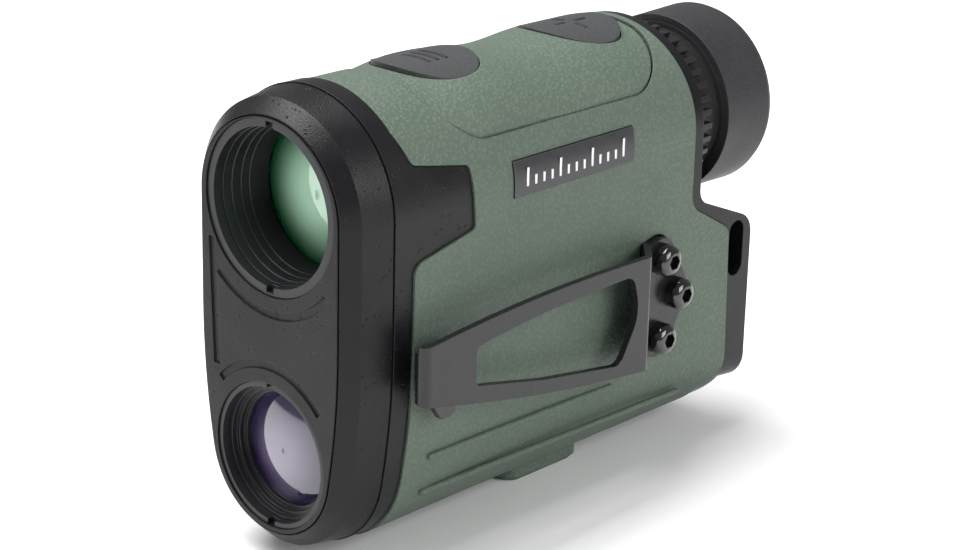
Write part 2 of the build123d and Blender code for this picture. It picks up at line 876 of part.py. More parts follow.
def battery_tube():
    inner = battery_radius + 0.15
    start = battery_front - 2.2
    tube = ring(inner + tube_wall, inner, start, block_green_end - 0.7, battery_height)
    return tube + disc(inner + tube_wall, start - 1.0, start, battery_height)


def front_contact():
    start = battery_front - 2.15
    return disc(5.0, start, start + 0.4, battery_height) + disc(2.0, start, battery_front - lay,
                                                                battery_height)


def battery_cap():
    plug_front = battery_back + 1.6
    cap = disc(cap_flange_radius, block_end + 0.1, block_end + cap_flange, battery_height)
    cap = fillet(cap.edges().group_by(Axis.Y)[-1], 0.6)
    cap += disc(cap_plug_radius, plug_front, block_end + 0.2, battery_height)
    cap -= ring(cap_plug_radius + 1, cap_plug_radius - 1.0, 97.0, 98.6, battery_height)
    slot = box(-coin_slot / 2, coin_slot / 2, block_end + 0.4, block_end + 3,
               battery_height - 6.5, battery_height + 6.5)
    return cap - slot


def cap_contact():
    start = battery_back + 0.1
    leaf = disc(2.4, start, start + 0.4, battery_height)
    leaf += box(-1.0, 1.0, start, battery_back + 1.59, battery_height - 1, battery_height + 1)
    return leaf


def battery_seal():
    middle = Pos(0, deep(97.8), high(battery_height)) * Rot(90, 0, 0)
    return middle * Torus(cap_plug_radius - 0.35, 0.35)


# Clip and badge ---------------------------------------------------------------

clip_middle = clip_stand_off - clip_sheet / 2
base_middle = clip_seat + clip_sheet / 2
lip_split = 24.1
long_curve = 350.0          # radius of the nearly straight edges of the arm


def clip_sheet_metal():
    """The bent strip seen from above, as tall as the body."""
    route = FilletPolyline(
        (21.3, 19.8), (23.4, clip_tip), (clip_middle, clip_tip), (clip_middle, 63.7),
        (base_middle, clip_bend), (base_middle, 84), radius=0.78)
    return plan_prism(trace(route, clip_sheet), -8, 40)


def arm_outline():
    points = [(7.5, 22.7), (35.7, 25.6), (63.9, 24.9), (clip_bend + 1, 24.9), (clip_bend + 1, 4.0)]
    points += [(63.0, 4.4), (37.1, 7.3), (7.5, 13.5)]
    face = rounded_polygon(points, [(points[1], long_curve), (points[6], long_curve)])
    window = [(20.8, 20.3), (37.0, 22.2), (59.4, 22.6), (61.4, 15.5), (56.6, 7.2), (37.0, 10.2),
              (20.8, 13.7)]
    rounds = [(window[0], 1.0), (window[1], 0.7 * long_curve), (window[2], 2.6), (window[3], 8.0)]
    rounds += [(window[4], 2.2), (window[6], 1.0)]
    return face - rounded_polygon(window, rounds)


def lip_outline():
    points = [(7.5, 22.2), (20.5, 19.2), (20.5, 8.2), (16.2, 8.2), (12.5, 12.8), (7.5, 13.6)]
    return rounded_polygon(points, [(points[1], 2.0), (points[2], 1.6), (points[3], 1.6)])


def clip_arm():
    sheet = clip_sheet_metal()
    arm = sheet & side_prism(arm_outline(), lip_split, clip_stand_off + 1)
    arm += sheet & side_prism(lip_outline(), 19, lip_split)
    arm += (sheet & side_prism(arm_outline(), 19, lip_split)) & box(19, 27, 60, 90, -9, 40)
    return arm & box(15, 30, 0, clip_bend - clip_flex_gap / 2, -10, 40)


def clip_base():
    plate = clip_sheet_metal() & side_prism(boss_outline(), 19, 22)
    plate = plate & box(15, 30, clip_bend + clip_flex_gap / 2, 90, -10, 40)
    for depth, height in clip_screw_places:
        plate -= cross_pin(screw_radius + lay, 19, 22, depth, height)
    return plate


def clip_screw(depth, height):
    """Domed head with a hex socket, on a plain shank, turned about a line along X."""
    seat = clip_seat + clip_sheet
    top = seat + screw_head_height
    shoulder = seat + 1.0
    tip = seat - clip_sheet - 3.0
    rim = (seat + 2.35, screw_head_radius * 0.75)
    outline = [
        Polyline((top, 0), (tip, 0), (tip, screw_radius), (seat, screw_radius),
                 (seat, screw_head_radius), (shoulder, screw_head_radius)),
        ThreePointArc((shoulder, screw_head_radius), rim, (top, 1.45)),
        Line((top, 1.45), (top, 0)),
    ]
    frame = Plane(origin=(0, deep(depth), high(height)))
    screw = revolve(frame * make_face(outline), Axis((0, deep(depth), high(height)), (1, 0, 0)))
    hexagon = RegularPolygon(hex_across / math.sqrt(3), 6)
    return screw - side_prism(Pos(depth, height) * hexagon, top - 1.5, top + 1)


def clip_screws():
    screws = Part()
    for depth, height in clip_screw_places:
        screws += clip_screw(depth, height)
    return screws


def clip_inserts():
    inserts = Part()
    for depth, height in clip_screw_places:
        insert = cross_pin(insert_radius, clip_seat - insert_length, clip_seat - lay, depth, height)
        insert -= cross_pin(screw_radius + lay, clip_seat - insert_length - 1, clip_seat + 1,
                            depth, height)
        inserts += insert
    return inserts


badge_depths = (35.2, 65.1)
badge_heights = (40.3, 46.2)
badge_proud = 0.3
badge_sink = 0.8


def badge_blank(gap=0.0):
    low, top = badge_heights
    front, rear = badge_depths
    crown = (crown_armour_front + crown_armour_rear) / 2
    outer = body_block(-badge_proud - gap, front - 2, rear + 2, crown)
    outer -= body_block(badge_sink + gap, front - 3, rear + 3, crown)
    return outer & box(5, 30, front - gap, rear + gap, low - gap, top + gap)


# Output -----------------------------------------------------------------------

def halves(solid):
    reach = body_half_width + 5
    tall = lower_axis_z + above
    middle = deep(block_end / 2)
    left = Pos(-reach / 2, middle, tall / 2) * Box(reach, block_end + 10, tall + 40)
    right = Pos(reach / 2, middle, tall / 2) * Box(reach, block_end + 10, tall + 40)
    return solid & left, solid & right


def build():
    frame = chassis() + (board_posts() & body_block(armour_wall + 1, 30, 70, crown_armour_front))
    chassis_left, chassis_right = halves(frame)
    return {
        "front_bezel": front_bezel(),
        "front_faceplate": front_faceplate(),
        "front_housing": front_housing(),
        "front_gasket": front_gasket(),
        "armour": armour(),
        "control_panel": control_panel(),
        "chassis_left": chassis_left,
        "chassis_right": chassis_right,
        "rear_cap": rear_cap(),
        "rear_screws": rear_screws(),
        "tripod_insert": tripod_insert(),
        "objective_ring": objective_ring(),
        "objective_barrel": objective_barrel(),
        "objective_front_element": objective_front_element(),
        "objective_rear_element": objective_rear_element(),
        "objective_lock_ring": objective_lock_ring(),
        "receiver_ring": receiver_ring(),
        "receiver_barrel": receiver_barrel(),
        "receiver_lens": receiver_lens(),
        "receiver_lock_ring": receiver_lock_ring(),
        "receiver_filter": receiver_filter(),
        "detector_holder": detector_holder(),
        "detector": detector(),
        "prism_cage": prism_cage(),
        "half_penta_prism": half_penta_prism(),
        "roof_prism": roof_prism(),
        "laser_holder": laser_holder(),
        "laser_diode": laser_diode(),
        "display_module": display_module(),
        "main_board": main_board(),
        "board_chips": board_chips(),
        "board_screws": board_screws(),
        "ribbon_cable": ribbon_cable(),
        "switch_board": switch_board(),
        "switches": switches(),
        "menu_button": button(menu_depth),
        "menu_plunger": plunger(menu_depth),
        "measure_button": button(measure_depth),
        "measure_plunger": plunger(measure_depth),
        "ocular_tube": ocular_tube(),
        "field_lens": field_lens(),
        "eye_lens_cell": eye_lens_cell(),
        "eye_lens": eye_lens(),
        "focus_ring": focus_ring(),
        "eyepiece_collar": eyepiece_collar(),
        "eyecup_guide": eyecup_guide(),
        "eyecup_core": eyecup_core(),
        "eyecup": eyecup(),
        "battery": battery(),
        "battery_tube": battery_tube(),
        "front_contact": front_contact(),
        "battery_cap": battery_cap(),
        "cap_contact": cap_contact(),
        "battery_seal": battery_seal(),
        "clip_arm": clip_arm(),
        "clip_base": clip_base(),
        "clip_screws": clip_screws(),
        "clip_inserts": clip_inserts(),
        "badge": badge_blank(),
    }


os.makedirs("parts", exist_ok=True)
for node, solid in build().items():
    export_step(solid, f"parts/{node}.step")
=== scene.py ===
"""Laser rangefinder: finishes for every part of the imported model, its raised marks and its stage.

Laid out as an add-on and run as a script. Sizes are in metres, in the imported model's frame:
+Z is up, the lenses look along -Y and the belt clip is on +X.
"""

import math

import bpy
from mathutils import Matrix, Vector


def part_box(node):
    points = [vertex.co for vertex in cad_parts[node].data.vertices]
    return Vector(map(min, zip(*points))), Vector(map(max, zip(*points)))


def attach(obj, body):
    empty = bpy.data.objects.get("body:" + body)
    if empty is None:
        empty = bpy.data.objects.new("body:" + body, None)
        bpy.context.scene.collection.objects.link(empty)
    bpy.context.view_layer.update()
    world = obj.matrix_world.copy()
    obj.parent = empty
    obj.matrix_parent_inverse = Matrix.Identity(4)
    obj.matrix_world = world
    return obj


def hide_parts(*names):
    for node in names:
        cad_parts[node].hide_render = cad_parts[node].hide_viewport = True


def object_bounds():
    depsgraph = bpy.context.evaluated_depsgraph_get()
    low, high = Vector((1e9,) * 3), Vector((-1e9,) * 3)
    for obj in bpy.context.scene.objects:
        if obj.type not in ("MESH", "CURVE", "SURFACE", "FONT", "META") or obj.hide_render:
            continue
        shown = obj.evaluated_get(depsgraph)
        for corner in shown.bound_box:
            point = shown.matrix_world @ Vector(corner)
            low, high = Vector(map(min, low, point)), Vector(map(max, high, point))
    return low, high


bl_info = {
    "name": "Laser rangefinder",
    "version": (1, 0, 0),
    "blender": (4, 5, 0),
    "location": "View3D > Sidebar > Rangefinder",
    "description": "Finishes, raised marks and stage for a laser rangefinder",
    "category": "Object",
}

MM = 0.001
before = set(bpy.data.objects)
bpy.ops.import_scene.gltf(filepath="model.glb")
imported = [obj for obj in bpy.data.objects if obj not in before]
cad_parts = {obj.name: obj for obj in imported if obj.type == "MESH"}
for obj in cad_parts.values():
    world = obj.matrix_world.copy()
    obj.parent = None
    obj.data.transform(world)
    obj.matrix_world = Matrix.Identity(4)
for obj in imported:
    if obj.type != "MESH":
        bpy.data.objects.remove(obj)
cad_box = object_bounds()

objective_low, objective_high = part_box("objective_ring")
receiver_low, receiver_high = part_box("receiver_ring")
badge_low, badge_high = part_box("badge")


def middle(low, high):
    return (low + high) / 2


# Clip screws, whose heads point along +X
screw_radius = 2.8 * MM
screw_top = 24.0 * MM
screw_buried = 19.6 * MM      # the heads reach down into the clip base
screw_dome = 1.5 * MM
socket_across = 2.4 * MM
socket_cutter = 3.0 * MM      # length of the hexagon, half of it inside the head
screw_places = ((12.8 * MM, 40.1 * MM), (16.7 * MM, 33.1 * MM), (12.5 * MM, 25.8 * MM))

# Raised marks
panel_crown = 20.8 * MM       # radius of the buttons' tops, across the body
bar_length = 6.0 * MM
bar_pitch = 2.0 * MM
stroke = 0.7 * MM
arm_length = 2.4 * MM
arm_reach = 2.6 * MM
mark_edge = 0.03 * MM
tick_edge = 0.04 * MM
tick_span = 0.8               # share of the badge's length
tick_foot = 0.28              # shares of the badge's height
tall_tick = 0.56
short_tick = 0.30

# Camera
camera_place = (0.2758, -0.3129, 0.1840)
camera_target = (0.00578, -0.0145, 0.03989)
camera_roll = math.radians(1.48)
camera_lens = 93.33           # millimetres, on the sensor width below
camera_sensor = 36

objective_axis = middle(objective_low, objective_high).z
receiver_axis = middle(receiver_low, receiver_high).z


# Settings ---------------------------------------------------------------------

class ArmourSettings(bpy.types.PropertyGroup):
    colour: bpy.props.FloatVectorProperty(
        name="Rubber colour", description="Main colour of the rubber armour",
        subtype="COLOR", size=3, min=0, max=1, default=(0.066, 0.091, 0.070))
    # Colour where the grain stands highest: the rubber is lighter on the grain's raised tops and
    # darker in its hollows.
    grain_top_colour: bpy.props.FloatVectorProperty(
        name="Raised colour", description="Colour on top of the rubber's grain",
        subtype="COLOR", size=3, min=0, max=1, default=(0.082, 0.111, 0.086))
    grain: bpy.props.FloatProperty(
        name="Grain size", description="Width of one cell of the leather-like grain",
        unit="LENGTH", default=0.72 * MM, min=0.05 * MM)
    grain_depth: bpy.props.FloatProperty(
        name="Grain depth", description="Height of the grain", unit="LENGTH",
        default=0.11 * MM)


class PlasticSettings(bpy.types.PropertyGroup):
    colour: bpy.props.FloatVectorProperty(
        name="Plastic colour", description="Colour of the black mouldings",
        subtype="COLOR", size=3, min=0, max=1, default=(0.006, 0.006, 0.007))
    # Darker colour inside the fine pits: painted shade.
    pit_shade_colour: bpy.props.FloatVectorProperty(
        name="Pit colour", description="Colour inside the fine pits",
        subtype="COLOR", size=3, min=0, max=1, default=(0.004, 0.004, 0.004))
    pit_size: bpy.props.FloatProperty(
        name="Pit spacing", description="Distance between the fine pits",
        unit="LENGTH", default=1.1 * MM, min=0.1 * MM)
    # The edge radius also sets the width of the painted edge highlight on the plastic.
    edge_radius: bpy.props.FloatProperty(
        name="Edge softening", description="Radius that moulded edges appear to have",
        unit="LENGTH", default=0.25 * MM)


class OpticsSettings(bpy.types.PropertyGroup):
    # The centre colours are painted reflections on the coatings; the rim colours are the coatings'
    # own dark tints.
    objective_reflection: bpy.props.FloatVectorProperty(
        name="Objective centre", description="Coating colour in the middle of the upper lens",
        subtype="COLOR", size=3, min=0, max=1, default=(0.50, 0.80, 0.58))
    objective_rim: bpy.props.FloatVectorProperty(
        name="Objective rim", description="Coating colour at the rim of the upper lens",
        subtype="COLOR", size=3, min=0, max=1, default=(0.004, 0.085, 0.030))
    receiver_reflection: bpy.props.FloatVectorProperty(
        name="Receiver centre", description="Coating colour in the middle of the lower lens",
        subtype="COLOR", size=3, min=0, max=1, default=(0.15, 0.12, 0.19))
    receiver_rim: bpy.props.FloatVectorProperty(
        name="Receiver rim", description="Coating colour at the rim of the lower lens",
        subtype="COLOR", size=3, min=0, max=1, default=(0.016, 0.008, 0.045))


class MarkSettings(bpy.types.PropertyGroup):
    colour: bpy.props.FloatVectorProperty(
        name="Mark colour", description="Colour of the raised marks on the badge",
        subtype="COLOR", size=3, min=0, max=1, default=(0.62, 0.62, 0.60))
    tick_count: bpy.props.IntProperty(
        name="Ticks", description="Number of ticks on the badge's scale", default=13, min=3)
    tick_width: bpy.props.FloatProperty(
        name="Tick width", description="Width of one tick", unit="LENGTH", default=0.55 * MM)
    relief: bpy.props.FloatProperty(
        name="Relief", description="How far the marks stand up", unit="LENGTH", default=0.12 * MM)


class StageSettings(bpy.types.PropertyGroup):
    floor_colour: bpy.props.FloatVectorProperty(
        name="Floor colour", description="Colour of the plain floor",
        subtype="COLOR", size=3, min=0, max=1, default=(0.86, 0.86, 0.86))
    key_power: bpy.props.FloatProperty(
        name="Key light", description="Power of the large light overhead", default=15.0,
        unit="POWER")
    side_power: bpy.props.FloatProperty(
        name="Side light", description="Power of the light on the clip side", default=5.0,
        unit="POWER")
    front_power: bpy.props.FloatProperty(
        name="Front light", description="Power of the light facing the lenses", default=0.8,
        unit="POWER")
    room_light: bpy.props.FloatProperty(
        name="Room light", description="Brightness of the even surrounding light", default=0.30)


# Shared effects ---------------------------------------------------------------

def effect(name, inputs, outputs):
    """Empty shader group with named sockets, and its input and output nodes."""
    tree = bpy.data.node_groups.new(name, "ShaderNodeTree")
    for label, value in inputs:
        socket = tree.interface.new_socket(label, in_out="INPUT", socket_type="NodeSocketFloat")
        socket.default_value = value
    for label, kind in outputs:
        tree.interface.new_socket(label, in_out="OUTPUT", socket_type=kind)
    return tree, tree.nodes.new("NodeGroupInput"), tree.nodes.new("NodeGroupOutput")


def math_node(tree, operation, first, second):
    node = tree.nodes.new("ShaderNodeMath")
    node.operation = operation
    for socket, value in zip(node.inputs, (first, second)):
        if isinstance(value, (int, float)):
            socket.default_value = value
        else:
            tree.links.new(value, socket)
    return node.outputs[0]


def object_place(tree):
    return tree.nodes.new("ShaderNodeTexCoord").outputs["Object"]


def noise(tree, scale, detail):
    node = tree.nodes.new("ShaderNodeTexNoise")
    node.inputs["Detail"].default_value = detail
    tree.links.new(object_place(tree), node.inputs["Vector"])
    if isinstance(scale, (int, float)):
        node.inputs["Scale"].default_value = scale
    else:
        tree.links.new(scale, node.inputs["Scale"])
    return node.outputs["Fac"]


def cells(tree, scale, feature="F1"):
    node = tree.nodes.new("ShaderNodeTexVoronoi")
    node.feature = feature
    tree.links.new(object_place(tree), node.inputs["Vector"])
    tree.links.new(scale, node.inputs["Scale"])
    return node.outputs["Distance"]


def remap(tree, value, low, high):
    node = tree.nodes.new("ShaderNodeMapRange")
    node.interpolation_type = "SMOOTHSTEP"
    node.inputs["From Min"].default_value = low
    node.inputs["From Max"].default_value = high
    tree.links.new(value, node.inputs["Value"])
    return node.outputs["Result"]


def make_leather_grain():
    """Rounded cells with fine noise over them, as on moulded rubber."""
    tree, given, out = effect("leather grain", [("Scale", 2000)],
                              [("Height", "NodeSocketFloat"), ("Mask", "NodeSocketFloat")])
    bumps = remap(tree, cells(tree, given.outputs["Scale"]), 0.75, 0.1)
    fine = noise(tree, math_node(tree, "MULTIPLY", given.outputs["Scale"], 2.3), 4)
    height = math_node(tree, "ADD", math_node(tree, "MULTIPLY", bumps, 0.65),
                       math_node(tree, "MULTIPLY", fine, 0.35))
    tree.links.new(height, out.inputs["Height"])
    tree.links.new(remap(tree, height, 0.3, 0.75), out.inputs["Mask"])


def make_speckle():
    """Scattered small pits."""
    tree, given, out = effect("speckle", [("Scale", 1000), ("Size", 0.16)],
                              [("Mask", "NodeSocketFloat")])
    spots = cells(tree, given.outputs["Scale"])
    share = math_node(tree, "DIVIDE", spots, given.outputs["Size"])
    near = remap(tree, share, 1.0, 0.4)
    patch = remap(tree, noise(tree, 260, 2), 0.42, 0.62)
    tree.links.new(math_node(tree, "MULTIPLY", near, patch), out.inputs["Mask"])


def make_soft_edge():
    """Rounded normal along sharp edges, and a mask of where it differs from the face; the materials
    use the mask for painted edge highlights.
    """
    tree, given, out = effect("soft edge", [("Radius", 0.25 * MM)],
                              [("Normal", "NodeSocketVector"), ("Mask", "NodeSocketFloat")])
    bevel = tree.nodes.new("ShaderNodeBevel")
    bevel.samples = 4
    tree.links.new(given.outputs["Radius"], bevel.inputs["Radius"])
    flat = tree.nodes.new("ShaderNodeNewGeometry")
    dot = tree.nodes.new("ShaderNodeVectorMath")
    dot.operation = "DOT_PRODUCT"
    tree.links.new(bevel.outputs["Normal"], dot.inputs[0])
    tree.links.new(flat.outputs["Normal"], dot.inputs[1])
    away = math_node(tree, "SUBTRACT", 1.0, dot.outputs["Value"])
    tree.links.new(bevel.outputs["Normal"], out.inputs["Normal"])
    tree.links.new(remap(tree, away, 0.02, 0.25), out.inputs["Mask"])


def make_handling():
    """Slow cloudy variation, as of handled surfaces."""
    tree, given, out = effect("handling", [("Scale", 90)], [("Mask", "NodeSocketFloat")])
    tree.links.new(remap(tree, noise(tree, given.outputs["Scale"], 5), 0.35, 0.7),
                   out.inputs["Mask"])


# Materials --------------------------------------------------------------------

def new_material(name):
    made = bpy.data.materials.new(name)
    made.use_nodes = True
    return made, made.node_tree, made.node_tree.nodes["Principled BSDF"]


def use(tree, name, **values):
    node = tree.nodes.new("ShaderNodeGroup")
    node.node_tree = bpy.data.node_groups[name]
    for label, value in values.items():
        node.inputs[label].default_value = value
    return node


def blend_colours(tree, mask, first, second):
    node = tree.nodes.new("ShaderNodeMix")
    node.data_type = "RGBA"
    node.inputs["A"].default_value = (*first, 1)
    if isinstance(second, bpy.types.NodeSocket):
        tree.links.new(second, node.inputs["B"])
    else:
        node.inputs["B"].default_value = (*second, 1)
    tree.links.new(mask, node.inputs["Factor"])
    return node.outputs["Result"]


def spread(tree, mask, low, high):
    """Value that runs from low to high with a mask."""
    return math_node(tree, "ADD", math_node(tree, "MULTIPLY", mask, high - low), low)


def add_bump(tree, shader, height, depth, normal=None, strength=1.0):
    bump = tree.nodes.new("ShaderNodeBump")
    bump.inputs["Distance"].default_value = depth
    bump.inputs["Strength"].default_value = strength
    tree.links.new(height, bump.inputs["Height"])
    if normal is not None:
        tree.links.new(normal, bump.inputs["Normal"])
    tree.links.new(bump.outputs["Normal"], shader.inputs["Normal"])


def shade(colour, factor):
    return tuple(min(1.0, channel * factor) for channel in colour)


def rubber(name, low, high, grain, depth, roughness):
    made, tree, shader = new_material(name)
    leather = use(tree, "leather grain", Scale=1 / grain)
    cloud = use(tree, "handling", Scale=60)
    edge = use(tree, "soft edge", Radius=0.3 * MM)
    # Lighter on the grain's raised tops, darker in its hollows.
    raised = blend_colours(tree, leather.outputs["Mask"], low, high)
    # Colour lifted 1.5 times along the edges by the soft edge mask: a painted edge highlight.
    edge_highlight = tree.nodes.new("ShaderNodeMix")
    edge_highlight.data_type = "RGBA"
    tree.links.new(math_node(tree, "MULTIPLY", edge.outputs["Mask"], 0.35), edge_highlight.inputs["Factor"])
    tree.links.new(raised, edge_highlight.inputs["A"])
    edge_highlight.inputs["B"].default_value = (*shade(high, 1.5), 1)
    tree.links.new(edge_highlight.outputs["Result"], shader.inputs["Base Color"])
    tree.links.new(spread(tree, cloud.outputs["Mask"], roughness - 0.07, roughness + 0.05),
                   shader.inputs["Roughness"])
    shader.inputs["Specular IOR Level"].default_value = 0.4
    add_bump(tree, shader, leather.outputs["Height"], depth, edge.outputs["Normal"])
    return made


def plastic(name, colour, roughness, pits=None, pit_size=0.9 * MM, pit_shade_colour=(0, 0, 0),
            edge_radius=0.25 * MM):
    made, tree, shader = new_material(name)
    edge = use(tree, "soft edge", Radius=edge_radius)
    cloud = use(tree, "handling", Scale=110)
    fine = use(tree, "leather grain", Scale=1 / (0.22 * MM))
    # Colour lifted 2.2 times along the edges by the soft edge mask: a painted edge highlight.
    base = blend_colours(tree, edge.outputs["Mask"], colour, shade(colour, 2.2))
    if pits:
        spots = use(tree, "speckle", Scale=1 / pit_size, Size=pits)
        # The pits are sunk by the bump below; the darker colour in them is painted shade.
        pitted = tree.nodes.new("ShaderNodeMix")
        pitted.data_type = "RGBA"
        tree.links.new(spots.outputs["Mask"], pitted.inputs["Factor"])
        tree.links.new(base, pitted.inputs["A"])
        pitted.inputs["B"].default_value = (*pit_shade_colour, 1)
        base = pitted.outputs["Result"]
        sunk = math_node(tree, "MULTIPLY", spots.outputs["Mask"], -5.0)
        height = math_node(tree, "ADD", fine.outputs["Height"], sunk)
    else:
        height = fine.outputs["Height"]
    tree.links.new(base, shader.inputs["Base Color"])
    tree.links.new(spread(tree, cloud.outputs["Mask"], roughness - 0.05, roughness + 0.08),
                   shader.inputs["Roughness"])
    shader.inputs["Specular IOR Level"].default_value = 0.22
    add_bump(tree, shader, height, 0.03 * MM, edge.outputs["Normal"], 0.8)
    return made


def metal(name, colour, roughness, metallic=1.0, scratch=0.4, edge_highlight_lift=1.8):
    made, tree, shader = new_material(name)
    edge = use(tree, "soft edge", Radius=0.2 * MM)
    cloud = use(tree, "handling", Scale=400)
    # Colour lifted along the edges by the soft edge mask: a painted edge highlight.
    base = blend_colours(tree, edge.outputs["Mask"], colour, shade(colour, edge_highlight_lift))
    tree.links.new(base, shader.inputs["Base Color"])
    shader.inputs["Metallic"].default_value = metallic
    tree.links.new(spread(tree, cloud.outputs["Mask"], roughness * (1 - scratch), roughness),
                   shader.inputs["Roughness"])
    add_bump(tree, shader, noise(tree, 1800, 4), 0.006 * MM, edge.outputs["Normal"], 0.5)
    return made


def coated_lens(name, centre, rim, axis, radius):
    """Coated lens: its colour changes from the middle to the rim, about an axis along Y. The pale
    middle is a painted reflection; the dark rim is the coating's own tint.
    """
    made, tree, shader = new_material(name)
    shift = tree.nodes.new("ShaderNodeMapping")
    shift.inputs["Location"].default_value = (0, 0, -axis)
    shift.inputs["Scale"].default_value = (1, 0, 1)
    tree.links.new(object_place(tree), shift.inputs["Vector"])
    length = tree.nodes.new("ShaderNodeVectorMath")
    length.operation = "LENGTH"
    tree.links.new(shift.outputs["Vector"], length.inputs[0])
    share = math_node(tree, "DIVIDE", length.outputs["Value"], radius)
    mask = remap(tree, share, 0.15, 0.95)
    tree.links.new(blend_colours(tree, mask, centre, rim), shader.inputs["Base Color"])
    tree.links.new(spread(tree, noise(tree, 300, 3), 0.02, 0.06), shader.inputs["Roughness"])
    shader.inputs["IOR"].default_value = 1.6
    shader.inputs["Coat Weight"].default_value = 1.0
    shader.inputs["Coat Roughness"].default_value = 0.02
    return made


def clear_glass(name, tint, roughness=0.03):
    made, tree, shader = new_material(name)
    cloud = use(tree, "handling", Scale=200)
    tree.links.new(blend_colours(tree, cloud.outputs["Mask"], tint, shade(tint, 0.93)),
                   shader.inputs["Base Color"])
    tree.links.new(spread(tree, cloud.outputs["Mask"], roughness, roughness + 0.03),
                   shader.inputs["Roughness"])
    shader.inputs["Transmission Weight"].default_value = 0.9
    shader.inputs["IOR"].default_value = 1.52
    return made


def finish_nodes(made, *names):
    for name in names:
        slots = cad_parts[name].data.materials
        slots.clear()
        slots.append(made)


# Raised marks -----------------------------------------------------------------

def deselect():
    if bpy.context.object and bpy.context.object.mode != "OBJECT":
        bpy.ops.object.mode_set(mode="OBJECT")
    bpy.ops.object.select_all(action="DESELECT")


def bar(place, size, round_off, cuts=0):
    """Bar with bevelled edges."""
    deselect()
    bpy.ops.mesh.primitive_cube_add(size=1, location=place)
    made = bpy.context.object
    made.scale = size
    bpy.ops.object.transform_apply(location=True, rotation=True, scale=True)
    bpy.ops.object.mode_set(mode="EDIT")
    bpy.ops.mesh.select_all(action="SELECT")
    if cuts:
        bpy.ops.mesh.subdivide(number_cuts=cuts)
    bpy.ops.object.mode_set(mode="OBJECT")
    edge = made.modifiers.new("round", "BEVEL")
    edge.width = round_off
    edge.segments = 2
    bpy.ops.object.modifier_apply(modifier=edge.name)
    return made


def joined(pieces, name):
    deselect()
    for piece in pieces:
        piece.select_set(True)
    bpy.context.view_layer.objects.active = pieces[0]
    if len(pieces) > 1:
        bpy.ops.object.join()
    made = bpy.context.object
    made.name = name
    return made


def lay_on_crown(piece, node, relief):
    """Drop a flat mark on to the crowned top of a node, keeping its own thickness."""
    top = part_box(node)[1].z
    for vertex in piece.data.vertices:
        drop = panel_crown - math.sqrt(panel_crown**2 - vertex.co.x**2)
        vertex.co.z += top - drop - relief / 2
    piece.data.update()


# Operators --------------------------------------------------------------------

class RANGEFINDER_OT_effects(bpy.types.Operator):
    """Build the shared grain, speckle, edge and handling effects"""
    bl_idname = "rangefinder.effects"
    bl_label = "Shared effects"

    def execute(self, context):
        make_leather_grain()
        make_speckle()
        make_soft_edge()
        make_handling()
        return {"FINISHED"}


class RANGEFINDER_OT_armour(bpy.types.Operator):
    """Give the armour, panel, buttons and eyecup their rubber"""
    bl_idname = "rangefinder.armour"
    bl_label = "Rubber parts"

    def execute(self, context):
        look = context.scene.rangefinder_armour
        green = rubber("green armour rubber", look.colour, look.grain_top_colour, look.grain,
                       look.grain_depth, 0.62)
        finish_nodes(green, "armour", "control_panel")
        button = rubber("button rubber", (0.030, 0.031, 0.033), (0.044, 0.045, 0.048),
                        0.3 * MM, 0.02 * MM, 0.55)
        finish_nodes(button, "menu_button", "measure_button")
        cup = rubber("eyecup rubber", (0.016, 0.016, 0.018), (0.027, 0.027, 0.030),
                     0.28 * MM, 0.025 * MM, 0.52)
        finish_nodes(cup, "eyecup")
        seal = rubber("seal rubber", (0.01, 0.01, 0.01), (0.016, 0.016, 0.016),
                      0.5 * MM, 0.01 * MM, 0.6)
        finish_nodes(seal, "front_gasket", "battery_seal")
        return {"FINISHED"}


class RANGEFINDER_OT_plastic(bpy.types.Operator):
    """Give the black mouldings their satin and gloss plastic"""
    bl_idname = "rangefinder.plastic"
    bl_label = "Black mouldings"

    def execute(self, context):
        look = context.scene.rangefinder_plastic
        satin = plastic("satin speckled plastic", look.colour, 0.34, 0.24, look.pit_size,
                        look.pit_shade_colour, look.edge_radius)
        finish_nodes(satin, "front_bezel", "front_faceplate", "front_housing")
        cap = plastic("rear cap plastic", look.colour, 0.28, edge_radius=look.edge_radius)
        finish_nodes(cap, "rear_cap", "battery_cap")
        grip = plastic("focus ring plastic", (0.014, 0.014, 0.015), 0.34, edge_radius=0.18 * MM)
        finish_nodes(grip, "focus_ring", "eyepiece_collar")
        inner = plastic("inner moulding", (0.020, 0.020, 0.021), 0.6)
        finish_nodes(inner, "chassis_left", "chassis_right", "detector_holder", "prism_cage",
                     "display_module", "menu_plunger", "measure_plunger", "eyecup_guide",
                     "eyecup_core", "battery_tube")
        return {"FINISHED"}


class RANGEFINDER_OT_optics(bpy.types.Operator):
    """Give the lenses their coatings and the barrels their black anodising"""
    bl_idname = "rangefinder.optics"
    bl_label = "Optics"

    def execute(self, context):
        look = context.scene.rangefinder_optics
        low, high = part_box("objective_front_element")
        upper = coated_lens("green coated glass", look.objective_reflection, look.objective_rim,
                            objective_axis, (high.x - low.x) / 2)
        finish_nodes(upper, "objective_front_element")
        low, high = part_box("receiver_lens")
        lower = coated_lens("violet coated glass", look.receiver_reflection, look.receiver_rim,
                            receiver_axis, (high.x - low.x) / 2)
        finish_nodes(lower, "receiver_lens")
        low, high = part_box("eye_lens")
        # The lighter middle colour of the eye lens is a painted reflection too.
        eye = coated_lens("eye lens coating", (0.04, 0.05, 0.09), (0.012, 0.010, 0.03),
                          middle(low, high).z, (high.x - low.x) / 2)
        finish_nodes(eye, "eye_lens")
        finish_nodes(clear_glass("clear glass", (0.9, 0.95, 0.94)), "objective_rear_element",
                     "half_penta_prism", "roof_prism", "field_lens")
        finish_nodes(clear_glass("filter glass", (0.25, 0.04, 0.06)), "receiver_filter")
        black = metal("black anodised metal", (0.016, 0.016, 0.018), 0.42, 0.3, 0.2, 3.0)
        finish_nodes(black, "objective_ring", "objective_barrel", "objective_lock_ring",
                     "receiver_ring", "receiver_barrel", "receiver_lock_ring", "ocular_tube",
                     "eye_lens_cell")
        return {"FINISHED"}


